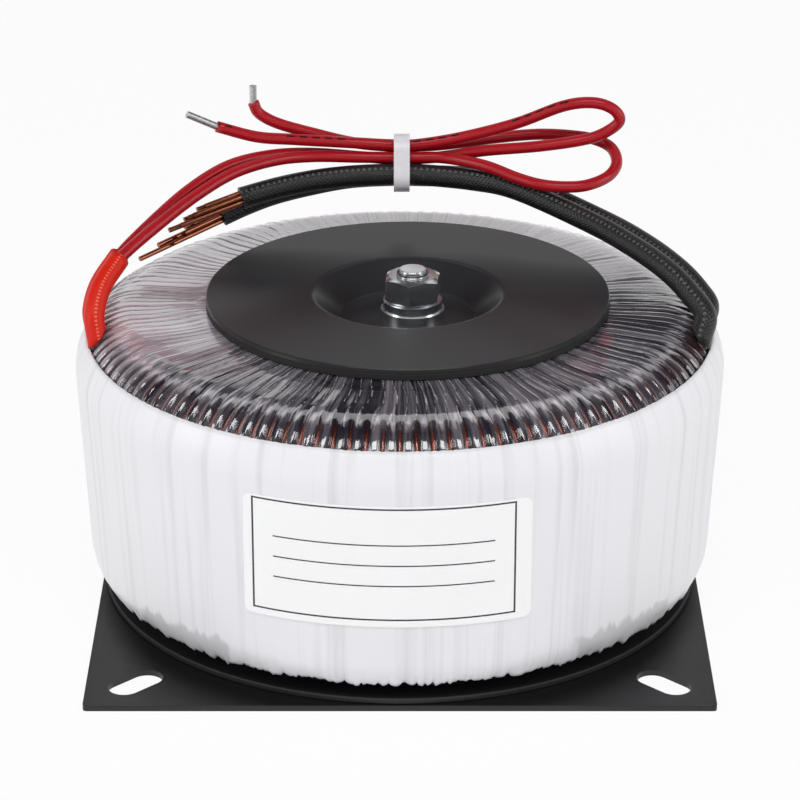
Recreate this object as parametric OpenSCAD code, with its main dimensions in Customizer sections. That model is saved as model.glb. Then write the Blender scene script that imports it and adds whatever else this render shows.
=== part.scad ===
// Toroidal mains transformer on a square mounting plate. Millimetres, +Z up.
// The origin is the middle of the plate's underside. The label looks along -Y.

/* [Mounting plate] */

// Side of the square steel plate
plate_side = 152; // [130:1:200]
// Thickness of the plate
plate_t = 1.5; // [1:0.1:3]
// Radius of the plate's corners
plate_corner_r = 1; // [0.5:0.5:10]
// Distance from a slot's middle to each of the two plate edges nearest it
slot_inset = 12; // [10:0.5:20]
// Width of a mounting slot
slot_w = 8; // [4:0.5:12]
// Length of a mounting slot, end to end
slot_len = 15; // [10:0.5:24]
// How far the middle of the plate is pressed up, over the bolt's head
boss_rise = 6; // [5.5:0.5:10]
// Radius of the flat on top of the pressed middle
boss_flat_r = 12; // [10:0.5:18]

/* [Wound body] */

// Height of the wrapped coil
coil_h = 72; // [50:1:110]
// Radius of the wrapped coil where its shoulder ends
coil_r = 80.9; // [60:0.1:110]
// Radius of the wrapped coil just above its lower rounding
coil_foot_r = 78.4; // [58:0.1:108]
// Radius of the hole through the wrapped coil
hole_r = 24; // [18:0.5:40]
// Rounding of the coil's upper outer edge
shoulder_r = 15; // [12:0.5:22]
// Rounding of the coil's lower outer edge
heel_r = 12; // [10:0.5:20]
// Rounding of the coil's edges at the hole
lip_r = 9; // [8.5:0.5:14]
// Thickness of the clear film wrapped round the coil
film_t = 1; // [0.8:0.1:2]
// Number of pleats in the film's top
pleats = 90; // [60:6:120]
// Depth of a pleat
pleat_depth = 0.6; // [0.2:0.05:0.7]
// Number of turns in the secondary winding
turns = 120; // [40:1:120]
// Thickness of the secondary's wire
wire_d = 1.2; // [0.6:0.05:1.25]
// Thickness of the tape between the two windings
tape_t = 0.6; // [0.3:0.1:1.5]
// Build of the primary winding, all its layers
primary_t = 3.5; // [1:0.1:3.9]
// Thickness of the insulation round the core
core_tape_t = 0.7; // [0.3:0.1:1.2]

/* [Side band and label] */

// Thickness of the white band round the side
band_t = 0.4; // [0.2:0.05:1]
// How far the band reaches over the shoulder, as an angle up from level
band_top_angle = 36; // [10:1:50]
// How far the band reaches under the heel, as an angle down from level
band_bottom_angle = 38; // [10:1:60]
// Width of the label, measured straight across
label_w = 68; // [30:1:90]
// Height of the label
label_h = 32; // [15:0.5:45]
// Thickness of the label
label_t = 0.2; // [0.1:0.05:0.5]
// Radius of the label's corners
label_corner_r = 2; // [0.5:0.5:5]
// Height of the label's middle above the coil's underside
label_z = 37.3; // [25:0.1:50]
// How far the label's middle lies off the centre line
label_x = -2.9; // [-10:0.1:10]

/* [Clamping stack] */

// Thickness of the rubber pad under the coil
foot_pad_t = 1.5; // [1:0.1:4]
// Radius of the rubber pad under the coil
foot_pad_r = 75.5; // [60:0.5:100]
// Thickness of the rubber pad on the coil
top_pad_t = 1.8; // [1:0.1:4]
// Radius of the rubber pad on the coil and of the dished washer
dish_r = 50.5; // [40:0.5:70]
// Thickness of the dished washer's steel
dish_t = 1.2; // [1:0.1:2]
// Depth of the dish in the washer's middle
dish_depth = 6.2; // [4.5:0.1:10]
// Radius of the flat floor inside the dish
dish_floor_r = 16.5; // [12:0.5:18]
// Slope of the pressed walls in the dish and the plate
press_angle = 41; // [20:1:60]
// How far the dished washer lies to the right of the plate's middle
clamp_x = 2; // [-3:0.1:3]
// How far the bolt stands to the right of the plate's middle
bolt_x = 3.2; // [-3:0.1:4]

/* [Fasteners] */

// Thread diameter of the clamping bolt
bolt_d = 8; // [6:1:9]
// Width of the nut and of the bolt's head across their flats
hex_af = 13; // [13:0.5:16]
// Height of the bolt's head
head_h = 5.3; // [4:0.1:5.4]
// Height of the nut
nut_h = 6.5; // [5:0.1:9]
// Radius of the plain washer
washer_r = 8; // [8:0.25:10]
// Thickness of the plain washer
washer_t = 2; // [1:0.1:2.5]
// Radius of the spring washer
spring_r = 7.4; // [6.5:0.1:8]
// Thickness of the spring washer, pressed flat
spring_t = 2.3; // [1.5:0.1:3]
// Slit in the spring washer
spring_slit = 1.2; // [0.5:0.1:3]
// Length of thread that shows above the nut
bolt_stub = 1.6; // [0.5:0.1:6]
// Clearance of a bolt in a plain hole, all round
bolt_gap = 0.3; // [0.1:0.05:0.8]
// Clearance of the thread in the nut, all round
thread_gap = 0.05; // [0.02:0.01:0.1]

/* [Leads] */

// Diameter of the red primary leads
red_d = 3; // [2:0.1:3]
// Diameter of the black sleeved secondary leads
black_d = 5.6; // [4:0.1:5.6]
// Wall of the red sleeves at the coil
sleeve_t = 0.5; // [0.3:0.05:0.5]
// Clearance of a red lead in its sleeve, all round
sleeve_gap = 0.6; // [0.2:0.05:0.6]
// Diameter of the tinned ends of the red leads
tip_d = 1.9; // [1:0.1:2.6]
// Diameter of one copper strand
strand_d = 1.3; // [0.8:0.1:1.6]
// Width of the cable tie
tie_w = 4.1; // [2.5:0.1:8]
// Thickness of the cable tie
tie_t = 1.1; // [0.8:0.1:2]

/* [Hidden] */

// Heights of the stack, from the plate's underside up
plate_top = plate_t;
coil_z0 = plate_top + foot_pad_t;
coil_z1 = coil_z0 + coil_h;
dish_z = coil_z1 + top_pad_t;
dish_floor_z = dish_z + dish_t - dish_depth;
spring_z = dish_floor_z + washer_t;
nut_z = spring_z + spring_t;
bolt_top = nut_z + nut_h + bolt_stub;
boss_under_z = boss_rise;

// Clearances between pieces that lie against one another
skin_gap = 0.1;
film_gap = 0.45;
pad_gap = 1.5;

// Depths of the wrapped layers, each measured in from the film's outside
wire_in = film_t + film_gap + wire_d / 2;
tape_in = wire_in + wire_d / 2 + skin_gap;
primary_in = tape_in + tape_t + skin_gap;
core_tape_in = primary_in + primary_t + skin_gap;
core_in = core_tape_in + core_tape_t + skin_gap;

// Centres of the coil section's four roundings, as [radius, height]
shoulder_c = [coil_r - shoulder_r, coil_z1 - shoulder_r];
heel_c = [coil_foot_r - heel_r, coil_z0 + heel_r];
lip_top_c = [hole_r + lip_r, coil_z1 - lip_r];
lip_low_c = [hole_r + lip_r, coil_z0 + lip_r];

// Angle of the outward direction on the coil's side, which leans a little
side_run = shoulder_c - heel_c;
side_angle = atan2(side_run[1], side_run[0]) - acos((heel_r - shoulder_r) / norm(side_run));

// Points on the arc round c, from angle a0 to a1 in n steps
function arc(c, r, a0, a1, n) =
    [for (i = [0 : n]) let (a = a0 + (a1 - a0) * i / n) c + r * [cos(a), sin(a)]];

// Outline of the coil's section, moved in by s
function coil_section(s, n = 6) = concat(
    arc(lip_top_c, max(lip_r - s, 0.2), 180, 90, n),
    arc(shoulder_c, shoulder_r - s, 90, side_angle, n),
    arc(heel_c, heel_r - s, side_angle, -90, n),
    arc(lip_low_c, max(lip_r - s, 0.2), 270, 180, n));

// A closed layer of the coil between two depths
module coil_layer(outer, inner) {
    rotate_extrude($fn = 120)
        difference() {
            polygon(coil_section(outer));
            polygon(coil_section(inner));
        }
}

// ---- Clear film with a pleated top -------------------------------------------------

film_fine = 2 * pleats;
film_coarse = pleats / 3 * 2;
slit_half = 0.1;
pleat_run_in = 1.5;
pleat_start_r = dish_r + pleat_run_in;
slit_z = (coil_z0 + coil_z1) / 2;

// Shares of the pleat's depth, and the steps of angle that make no two pleats alike
crest_share = 0.12;
valley_share = 0.8;
valley_play = 0.2;
crest_step = 97;
valley_step = 53;

// Depth of the pleat at one step round: crests and valleys take turns
function pleat(i) = i % 2 == 0
    ? crest_share * (1 + sin(i * crest_step)) * pleat_depth
    : (valley_share + valley_play * sin(i * valley_step)) * pleat_depth;

// A ring of points at one place of the section; share is how much of the pleat it takes
function ring(p, n, share = 0, dir = [0, 1]) =
    [for (i = [0 : n - 1])
        let (a = i * 360 / n, q = p - share * pleat(i) * dir)
        [q[0] * cos(a), q[0] * sin(a), q[1]]];

// Rings of an arc of the film that carries no pleats
function plain_rings(c, r, a0, a1, n) =
    [for (p = arc(c, r, a0, a1, n)) ring(p, film_coarse)];

// The film's rings in order: outside from the slit over the top and round, then back inside
function film_rings(s) = concat(
    [ring([hole_r, slit_z + slit_half], film_coarse)],
    plain_rings(lip_top_c, lip_r, 180, 90, 3),
    [ring([pleat_start_r, coil_z1], film_fine)],
    [for (k = [0 : 5])
        let (a = 90 + (side_angle - 90) * k / 5, d = [cos(a), sin(a)])
        ring(shoulder_c + shoulder_r * d, film_fine, k == 5 ? 0 : 1, d)],
    plain_rings(heel_c, heel_r, side_angle, -90, 4),
    plain_rings(lip_low_c, lip_r, 270, 180, 3),
    [ring([hole_r, slit_z - slit_half], film_coarse),
     ring([hole_r + s, slit_z - slit_half], film_coarse)],
    plain_rings(lip_low_c, lip_r - s, 180, 270, 3),
    plain_rings(heel_c, heel_r - s, -90, side_angle, 4),
    plain_rings(shoulder_c, shoulder_r - s, side_angle, 90, 4),
    plain_rings(lip_top_c, lip_r - s, 90, 180, 3),
    [ring([hole_r + s, slit_z + slit_half], film_coarse)]);

// Sum of the lengths of the first k lists
function before(lists, k) = k == 0 ? 0 : before(lists, k - 1) + len(lists[k - 1]);

// Triangles between ring a, of na points, and the next ring b, of nb points
function strip(a, na, b, nb) =
    na >= nb ? many_to_few(a, na, b, nb, false) : many_to_few(b, nb, a, na, true);
function many_to_few(a, na, b, nb, turned) =
    let (k = na / nb)
    [for (j = [0 : nb - 1]) each concat(
        [for (m = [0 : k - 1]) facing([b + j, a + (k * j + m + 1) % na, a + k * j + m], turned)],
        [facing([b + j, b + (j + 1) % nb, a + (k * (j + 1)) % na], turned)])];
function facing(f, turned) = turned ? [f[0], f[2], f[1]] : f;

// A closed skin through rings that follow one another round a loop
module ring_skin(rings) {
    count = len(rings);
    polyhedron(
        points = [for (r = rings) each r],
        faces = [for (k = [0 : count - 1]) let (m = (k + 1) % count)
            each strip(before(rings, k), len(rings[k]), before(rings, m), len(rings[m]))],
        convexity = 6);
}

// ---- Pressed sheet -----------------------------------------------------------------

press_low_r = 0.8;
press_high_r = 2;

// How far a pressed wall runs outward for a given depth
function press_run(depth) =
    let (bend = press_low_r + press_high_r)
    bend * sin(press_angle)
    + (depth - bend * (1 - cos(press_angle))) / tan(press_angle);

// Section of a sheet whose middle is pressed down, its flat rim's top face at height 0.
// The rim's upper edge is broken by edge.
function pressed_sheet(bore_r, floor_r, rim_r, depth, t, edge) =
    let (
        low_c = [floor_r, -depth + press_low_r],
        high_c = [floor_r + press_run(depth), -press_high_r])
    concat(
        [[bore_r, -depth]],
        arc(low_c, press_low_r, -90, -90 + press_angle, 4),
        arc(high_c, press_high_r, 90 + press_angle, 90, 5),
        edge > 0 ? [[rim_r - edge, 0], [rim_r, -edge]] : [[rim_r, 0]],
        [[rim_r, -t]],
        arc(high_c, press_high_r - t, 90, 90 + press_angle, 5),
        arc(low_c, press_low_r + t, -90 + press_angle, -90, 4),
        [[bore_r, -depth - t]]);

bolt_hole_r = bolt_d / 2 + bolt_gap;
dish_hole_r = bolt_hole_r + abs(bolt_x - clamp_x);
dish_edge = 0.25;
boss_brim = 2;
boss_rim_r = boss_flat_r + press_run(boss_rise) + boss_brim;

module slot_outline() {
    half = (slot_len - slot_w) / 2;
    for (x = [-half, half]) translate([x, 0]) circle(d = slot_w, $fn = 48);
    square([2 * half, slot_w], center = true);
}

module plate_outline() {
    inner = plate_side / 2 - plate_corner_r;
    square([2 * inner, plate_side], center = true);
    square([plate_side, 2 * inner], center = true);
    for (x = [-inner, inner], y = [-inner, inner]) translate([x, y]) circle(plate_corner_r, $fn = 32);
}

module mounting_plate() {
    color("#1c1c1e") {
        linear_extrude(plate_t) difference() {
            plate_outline();
            translate([bolt_x, 0]) circle(boss_rim_r, $fn = 96);
            for (sx = [-1, 1], sy = [-1, 1])
                translate([sx, sy] * (plate_side / 2 - slot_inset))
                    rotate(sx * sy * 45) slot_outline();
        }
        // The middle is pressed up, so its section is the pressed sheet upside down
        translate([bolt_x, 0, 0]) mirror([0, 0, 1]) rotate_extrude($fn = 96)
            polygon(pressed_sheet(bolt_hole_r, boss_flat_r, boss_rim_r, boss_rise, plate_t, 0));
    }
}

module clamping_washer() {
    color("#2a2a2c") translate([clamp_x, 0, dish_z + dish_t]) rotate_extrude($fn = 120)
        polygon(pressed_sheet(dish_hole_r, dish_floor_r, dish_r, dish_depth, dish_t, dish_edge));
}

// ---- Rubber pads -------------------------------------------------------------------

module pad(r, bore, t) {
    edge = min(0.3, t / 3);
    rotate_extrude($fn = 120) polygon([
        [bore, 0], [r - edge, 0], [r, edge], [r, t - edge], [r - edge, t], [bore, t]]);
}

module foot_pad() {
    color("#161617") translate([0, 0, plate_top])
        pad(foot_pad_r, boss_rim_r + pad_gap + abs(bolt_x), foot_pad_t);
}

module top_pad() {
    color("#1b1b1c") translate([clamp_x, 0, coil_z1])
        pad(dish_r, dish_floor_r + press_run(dish_depth) + pad_gap, top_pad_t);
}

// ---- Core and windings -------------------------------------------------------------

module core() {
    color("#8d9096") rotate_extrude($fn = 120) polygon(coil_section(core_in));
}

module core_insulation() {
    color("#e8e2c8") coil_layer(core_tape_in, core_tape_in + core_tape_t);
}

module primary_winding() {
    color("#9a4a2c") coil_layer(primary_in, primary_in + primary_t);
}

module winding_insulation() {
    color("#6a6275") coil_layer(tape_in, tape_in + tape_t);
}

// Outline of one turn, moved in by s, with true arcs at its four bends
module turn_outline(s) {
    polygon(coil_section(s, 1));
    translate(shoulder_c) circle(shoulder_r - s, $fn = 64);
    translate(heel_c) circle(heel_r - s, $fn = 64);
    translate(lip_top_c) circle(lip_r - s, $fn = 48);
    translate(lip_low_c) circle(lip_r - s, $fn = 48);
}

module winding_turn() {
    rotate([90, 0, 0]) translate([0, 0, -wire_d / 2]) linear_extrude(wire_d) difference() {
        turn_outline(wire_in - wire_d / 2);
        turn_outline(wire_in + wire_d / 2);
    }
}

module secondary_winding() {
    color("#a8583a") for (i = [0 : turns - 1]) rotate([0, 0, i * 360 / turns]) winding_turn();
}

module film_wrap() {
    color("#cfc8d4") ring_skin(film_rings(film_t));
}

// ---- Side band and label -----------------------------------------------------------

// The coil's side from heel to shoulder, moved out by s
function side_line(s, low, high) = concat(
    arc(heel_c, heel_r + s, -low, side_angle, 6),
    arc(shoulder_c, shoulder_r + s, side_angle, high, 6));

function reversed(list) = [for (i = [len(list) - 1 : -1 : 0]) list[i]];

// A skin on the coil's side between two distances from the film
module side_skin(near, far, low, high) {
    rotate_extrude($fn = 120)
        polygon(concat(side_line(far, low, high), reversed(side_line(near, low, high))));
}

// The straight stretch of the same line, between the two roundings
function straight_side(s) =
    let (d = [cos(side_angle), sin(side_angle)])
    [heel_c + (heel_r + s) * d, shoulder_c + (shoulder_r + s) * d];

band_out = skin_gap + band_t;

module side_band() {
    color("#e9e9ec") side_skin(skin_gap, band_out, band_bottom_angle, band_top_angle);
}

label_in = band_out + skin_gap;

module label_outline() {
    w = label_w / 2 - label_corner_r;
    h = label_h / 2 - label_corner_r;
    square([2 * w, label_h], center = true);
    square([label_w, 2 * h], center = true);
    for (x = [-w, w], y = [-h, h]) translate([x, y]) circle(label_corner_r, $fn = 32);
}

module label() {
    color("#f6f6f6") intersection() {
        rotate_extrude($fn = 120)
            polygon(concat(straight_side(label_in + label_t), reversed(straight_side(label_in))));
        translate([label_x, 0, coil_z0 + label_z]) rotate([90, 0, 0])
            linear_extrude(coil_r + 10) label_outline();
    }
}

// ---- Fasteners ---------------------------------------------------------------------

hex_corner_r = hex_af / 2 / cos(30);
hex_face_in = 0.5;
hex_cut = 1.4;
nut_turn = 24;
bolt_tip = 0.9;
split_at = 200;
split_slope = 25;

// A hexagon with its corners turned off at one or both ends
module hex_block(h, low_chamfer, high_chamfer) {
    rim = hex_af / 2 - hex_face_in;
    intersection() {
        cylinder(h = h, r = hex_corner_r, $fn = 6);
        rotate_extrude($fn = 64) polygon([
            [0, 0],
            [low_chamfer ? rim : hex_corner_r + 1, 0],
            [hex_corner_r + 1, low_chamfer ? hex_cut : 0],
            [hex_corner_r + 1, high_chamfer ? h - hex_cut : h],
            [high_chamfer ? rim : hex_corner_r + 1, h],
            [0, h]]);
    }
}

module plain_washer() {
    color("#c9ccd1") translate([bolt_x, 0, dish_floor_z]) difference() {
        cylinder(h = washer_t, r = washer_r, $fn = 64);
        translate([0, 0, -1]) cylinder(h = washer_t + 2, r = bolt_hole_r, $fn = 64);
    }
}

module spring_washer() {
    color("#bfc3c9") translate([bolt_x, 0, spring_z]) difference() {
        cylinder(h = spring_t, r = spring_r, $fn = 64);
        translate([0, 0, -1]) cylinder(h = spring_t + 2, r = bolt_hole_r, $fn = 64);
        rotate([0, 0, split_at]) translate([0, 0, spring_t / 2]) rotate([split_slope, 0, 0])
            translate([0, -spring_slit / 2, -spring_t * 2])
                cube([spring_r + 2, spring_slit, spring_t * 4]);
    }
}

module hex_nut() {
    color("#d4d7db") translate([bolt_x, 0, nut_z]) difference() {
        rotate([0, 0, nut_turn]) hex_block(nut_h, true, true);
        translate([0, 0, -1]) cylinder(h = nut_h + 2, r = bolt_d / 2 + thread_gap, $fn = 64);
    }
}

module clamping_bolt() {
    color("#cfd2d6") translate([bolt_x, 0, 0]) {
        translate([0, 0, boss_under_z - head_h]) hex_block(head_h, true, false);
        translate([0, 0, boss_under_z]) rotate_extrude($fn = 64) polygon([
            [0, 0], [bolt_d / 2, 0], [bolt_d / 2, bolt_top - boss_under_z - bolt_tip],
            [bolt_d / 2 - bolt_tip, bolt_top - boss_under_z], [0, bolt_top - boss_under_z]]);
    }
}

// ---- Leads -------------------------------------------------------------------------

// Each route's points lie on the lead's centre line, from the coil to the free end
red_a_route = [
    [-74.9, -14, 71.4], [-75.6, -11.5, 76.5], [-74, -6, 81.8], [-70, 1, 86.3],
    [-60, 12, 92], [-51, 22, 96], [-42, 31, 98.6], [-32, 39.4, 98.9], [-22, 44.8, 98],
    [-11, 47.4, 96.9], [-3, 48, 96.6], [4, 48, 96.6], [12, 47, 96.8], [22, 41, 96.8],
    [30, 36, 95.3], [36, 32.5, 94.7], [42, 31, 94.6], [48, 32, 94.7],
    [53.5, 35.5, 95.8], [56, 40.5, 97.6], [55, 45.5, 99.9], [51, 49, 101.1],
    [45, 50.8, 101.6], [36, 52, 101.6], [25, 52.6, 100.4], [12, 52.4, 98.7],
    [4, 52.1, 98.3], [-3, 52.1, 98.3], [-12.5, 51.9, 99.4], [-22.5, 51, 102.2],
    [-31.5, 50, 105.2], [-36.5, 50, 108], [-38, 50, 111]];
red_b_route = [
    [-75.8, -8, 71.4], [-76.5, -5.2, 75.4], [-74.9, 0.4, 80], [-70.6, 7.6, 84.7],
    [-62, 16, 91.2], [-53.1, 25.4, 96.3], [-43.8, 34.4, 99.2], [-33.4, 42.6, 99.1],
    [-22.8, 47.9, 97.8], [-11, 50.8, 95.9], [-3, 50.9, 95.3], [4, 50.9, 95.3],
    [11, 50.6, 95.9], [22, 48.2, 98.4], [36.5, 44.4, 101], [48.4, 43, 103.4],
    [54, 42.5, 106], [56.6, 42, 109], [54.6, 42, 112], [49.5, 42, 113.6],
    [42, 43.4, 112.2], [30, 46, 106.6], [16, 48.4, 102], [4, 49.2, 99.7],
    [-3, 49.2, 99.7], [-11, 48.8, 100.3], [-18, 47.4, 101.2], [-27.5, 45, 102.6],
    [-37, 42.4, 104.2], [-47, 40, 107.8]];
black_a_route = [
    [74.6, -14, 71.7], [75.8, -10, 75.5], [72.3, -4, 79], [66.9, 3, 82.6],
    [58.8, 13, 85.3], [48.5, 24, 87.6], [30.5, 38, 91.3], [19, 43, 92.2], [4, 45, 93],
    [-3, 45, 93], [-13, 44.4, 92.7], [-22.5, 42.5, 92.2], [-32, 40, 91],
    [-41, 37, 89.4]];
black_b_route = [
    [75.8, -4.8, 71.7], [77.2, -0.6, 74.3], [75.2, 3.2, 76.8], [70.6, 8.3, 80.5],
    [63, 17.4, 83.6], [52.5, 28.2, 86.2], [33.5, 43, 90], [20.5, 48.6, 90.7],
    [4, 50.4, 90.8], [-3, 50.4, 90.8], [-13, 49.8, 90.4], [-22.7, 48, 89.2],
    [-32.5, 45.5, 87.5], [-40, 42, 85.8], [-46.3, 39.5, 83.6]];
red_a_tip = [-38, 50, 115.5];
red_b_tip = [-54.5, 38, 111.8];
// The way that the bare strands point, and their lengths from the top one round to the middle
strand_way_a = [-18, -8.5, -4.2];
strand_way_b = [-20, -17, -4];
strand_lengths_a = [10, 14, 18, 21, 16, 12, 15];
strand_lengths_b = [9, 13, 17, 27, 20, 11, 15];
sleeve_a_end = 3;
sleeve_b_end = 3;
red_sides = 8;
black_sides = 10;

function unit(v) = v / norm(v);

// Direction of a route at its point i
function heading(route, i) = unit(route[min(i + 1, len(route) - 1)] - route[max(i - 1, 0)]);

// Side directions carried along the route with as little twist as can be
function carried(route, i) = i == 0
    ? unit(cross(heading(route, 0), [0, 0, 1] + [0.01, 0.02, 0]))
    : let (t = heading(route, i), u = carried(route, i - 1)) unit(u - (u * t) * t);

// Outward direction of the coil's shoulder nearest a point
function shoulder_out(p) =
    let (r = norm([p[0], p[1]]), n = unit([r - shoulder_c[0], p[2] - shoulder_c[1]]))
    [n[0] * p[0] / r, n[0] * p[1] / r, n[1]];

// A ring of a tube; the first ring lies flat on the shoulder that the lead leaves
function tube_ring(route, i, r, sides, flat) =
    let (t = heading(route, i), u = carried(route, i), v = cross(t, u),
        n = flat && i == 0 ? shoulder_out(route[0]) : t)
    [for (k = [0 : sides - 1])
        let (a = k * 360 / sides, q = r * (cos(a) * u + sin(a) * v))
        route[i] + q - (q * n) / (t * n) * t];

function tube_faces(rings, sides) = concat(
    [[for (k = [0 : sides - 1]) k]],
    [for (i = [0 : rings - 2], k = [0 : sides - 1]) let (m = (k + 1) % sides)
        each [[i * sides + k, (i + 1) * sides + k, (i + 1) * sides + m],
              [i * sides + k, (i + 1) * sides + m, i * sides + m]]],
    [[for (k = [sides - 1 : -1 : 0]) (rings - 1) * sides + k]]);

// A solid lead along a route
module lead(route, d, sides) {
    rings = [for (i = [0 : len(route) - 1]) tube_ring(route, i, d / 2, sides, true)];
    polyhedron(points = [for (r = rings) each r], faces = tube_faces(len(rings), sides),
        convexity = 6);
}

// An open tube round the first points of a route
module sleeve(route, last, inner_r, outer_r, sides) {
    part = [for (i = [0 : last]) route[i]];
    out = [for (i = [0 : last]) tube_ring(part, i, outer_r, sides, true)];
    back = [for (i = [last : -1 : 0]) tube_ring(part, i, inner_r, sides, true)];
    ring_skin(concat(out, back));
}

sleeve_bore_r = red_d / 2 + sleeve_gap;

module red_sleeve_a() {
    color("#e8331c") sleeve(red_a_route, sleeve_a_end, sleeve_bore_r, sleeve_bore_r + sleeve_t, red_sides);
}

module red_sleeve_b() {
    color("#d42c1a") sleeve(red_b_route, sleeve_b_end, sleeve_bore_r, sleeve_bore_r + sleeve_t, red_sides);
}

module red_lead_a() {
    color("#c01424") lead(red_a_route, red_d, red_sides);
}

module red_lead_b() {
    color("#b81222") lead(red_b_route, red_d, red_sides);
}

module black_lead_a() {
    color("#141414") lead(black_a_route, black_d, black_sides);
}

module black_lead_b() {
    color("#1a1a1a") lead(black_b_route, black_d, black_sides);
}

// A straight rod from p to q
module rod(p, q, d) {
    v = q - p;
    translate(p) rotate([0, acos(v[2] / norm(v)), atan2(v[1], v[0])])
        cylinder(h = norm(v), d = d, $fn = 24);
}

module tinned_end(route, tip) {
    last = route[len(route) - 1];
    rod(last, tip, tip_d);
}

module tinned_end_a() {
    color("#d9dadb") tinned_end(red_a_route, red_a_tip);
}

module tinned_end_b() {
    color("#d9dadb") tinned_end(red_b_route, red_b_tip);
}

// Bare strands out of the end of a black lead: six in a ring, the lowest the longest, and
// one in the middle
module strands(route, way, lengths) {
    last = route[len(route) - 1];
    axis = unit(way);
    side = unit(cross(axis, [0, 0, 1]));
    up = cross(side, axis);
    pitch = strand_d + skin_gap;
    for (k = [0 : 5]) {
        foot = last + pitch * (cos(60 * k + 90) * side + sin(60 * k + 90) * up);
        rod(foot, foot + lengths[k] * axis, strand_d);
    }
    rod(last, last + lengths[6] * axis, strand_d);
}

module copper_strands_a() {
    color("#c07850") strands(black_a_route, strand_way_a, strand_lengths_a);
}

module copper_strands_b() {
    color("#b87048") strands(black_b_route, strand_way_b, strand_lengths_b);
}

// ---- Cable tie ---------------------------------------------------------------------

// The loop leans back with the bundle; its own x runs back through the bundle, its y up
tie_x = 0.5;
tie_c = [49, 94.8];
tie_lean = -23.2;
tie_inner = [12.1, 12.6];
tie_low_r = 2.6;
tie_high_r = 3.6;
tie_head = [6.2, 4.2, 6.6];
tie_tail = 1.5;

module tie_loop(grow) {
    w = tie_inner[0] / 2;
    h = tie_inner[1] / 2;
    polygon([
        [tie_low_r - w, -h - grow], [w - tie_low_r, -h - grow],
        [w + grow, tie_low_r - h], [w + grow, h - tie_high_r],
        [w - tie_high_r, h + grow], [tie_high_r - w, h + grow],
        [-w - grow, h - tie_high_r], [-w - grow, tie_low_r - h]]);
    for (x = [-1, 1]) {
        translate([x * (w - tie_low_r), tie_low_r - h]) circle(tie_low_r + grow, $fn = 48);
        translate([x * (w - tie_high_r), h - tie_high_r]) circle(tie_high_r + grow, $fn = 48);
    }
}

module cable_tie() {
    back = tie_inner[0] / 2;
    color("#dcd8de") translate([tie_x, tie_c[0], tie_c[1]]) rotate([tie_lean, 0, 0]) {
        translate([-tie_w / 2, 0, 0]) rotate([90, 0, 90]) linear_extrude(tie_w) difference() {
            tie_loop(tie_t);
            tie_loop(0);
        }
        // The head, with the cut end of the strap standing out of it
        translate([-tie_head[0] / 2, back + tie_t / 2, -tie_head[2] / 2]) cube(tie_head);
        translate([-tie_w / 2, back + tie_t, -tie_head[2] / 2 - tie_tail])
            cube([tie_w, tie_t, tie_head[2]]);
    }
}

mounting_plate();
foot_pad();
core();
core_insulation();
primary_winding();
winding_insulation();
secondary_winding();
film_wrap();
side_band();
label();
top_pad();
clamping_washer();
plain_washer();
spring_washer();
hex_nut();
clamping_bolt();
red_sleeve_a();
red_sleeve_b();
red_lead_a();
red_lead_b();
tinned_end_a();
tinned_end_b();
black_lead_a();
black_lead_b();
copper_strands_a();
copper_strands_b();
cable_tie();
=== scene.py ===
"""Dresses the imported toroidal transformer: film, windings, tape, leads and hardware."""
import math

import bmesh
import bpy
from mathutils import Matrix, Vector, noise


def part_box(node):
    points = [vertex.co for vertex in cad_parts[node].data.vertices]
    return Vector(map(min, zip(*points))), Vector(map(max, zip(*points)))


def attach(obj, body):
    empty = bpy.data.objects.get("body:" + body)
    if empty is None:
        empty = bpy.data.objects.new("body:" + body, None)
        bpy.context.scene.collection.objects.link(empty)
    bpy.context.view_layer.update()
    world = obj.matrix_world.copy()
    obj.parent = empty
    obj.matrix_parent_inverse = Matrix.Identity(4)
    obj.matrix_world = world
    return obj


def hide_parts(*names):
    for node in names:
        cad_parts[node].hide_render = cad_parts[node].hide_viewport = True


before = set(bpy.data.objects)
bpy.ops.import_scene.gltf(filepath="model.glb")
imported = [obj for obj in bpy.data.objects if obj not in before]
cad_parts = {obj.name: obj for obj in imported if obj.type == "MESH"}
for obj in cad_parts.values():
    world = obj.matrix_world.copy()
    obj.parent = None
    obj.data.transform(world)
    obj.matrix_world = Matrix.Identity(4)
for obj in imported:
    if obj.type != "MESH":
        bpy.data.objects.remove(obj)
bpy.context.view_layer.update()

MM = 0.001
TAU = 2 * math.pi

# ---- Camera --------------------------------------------------------------------------

CAMERA_AT, CAMERA_DOWN = (0.04, -845.1, 410.7), 23.2

camera_data = bpy.data.cameras.new("studio_camera")
camera_data.sensor_width = 36
camera_data.lens = 163.3
camera_data.clip_start = 0.05
camera_data.clip_end = 20
camera = bpy.data.objects.new("studio_camera", camera_data)
bpy.context.scene.collection.objects.link(camera)
camera.location = Vector(CAMERA_AT) * MM
camera.rotation_euler = (math.radians(90 - CAMERA_DOWN), 0, 0)
bpy.context.scene.camera = camera
bpy.context.scene.view_settings.view_transform = "Standard"

# ---- Materials -----------------------------------------------------------------------


def linear(colour):
    """An sRGB hex colour as the linear RGBA that a shader takes."""
    parts = [int(colour[i:i + 2], 16) / 255 for i in (1, 3, 5)]
    return [c / 12.92 if c <= 0.04045 else ((c + 0.055) / 1.055) ** 2.4 for c in parts] + [1]


def add(tree, kind, inputs=None, **settings):
    """Adds a node with its settings; an input takes a value or another node's output."""
    made = tree.nodes.new(kind)
    for key, value in settings.items():
        setattr(made, key, value)
    for key, value in (inputs or {}).items():
        if isinstance(value, bpy.types.NodeSocket):
            tree.links.new(value, made.inputs[key])
        else:
            made.inputs[key].default_value = value
    return made


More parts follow.
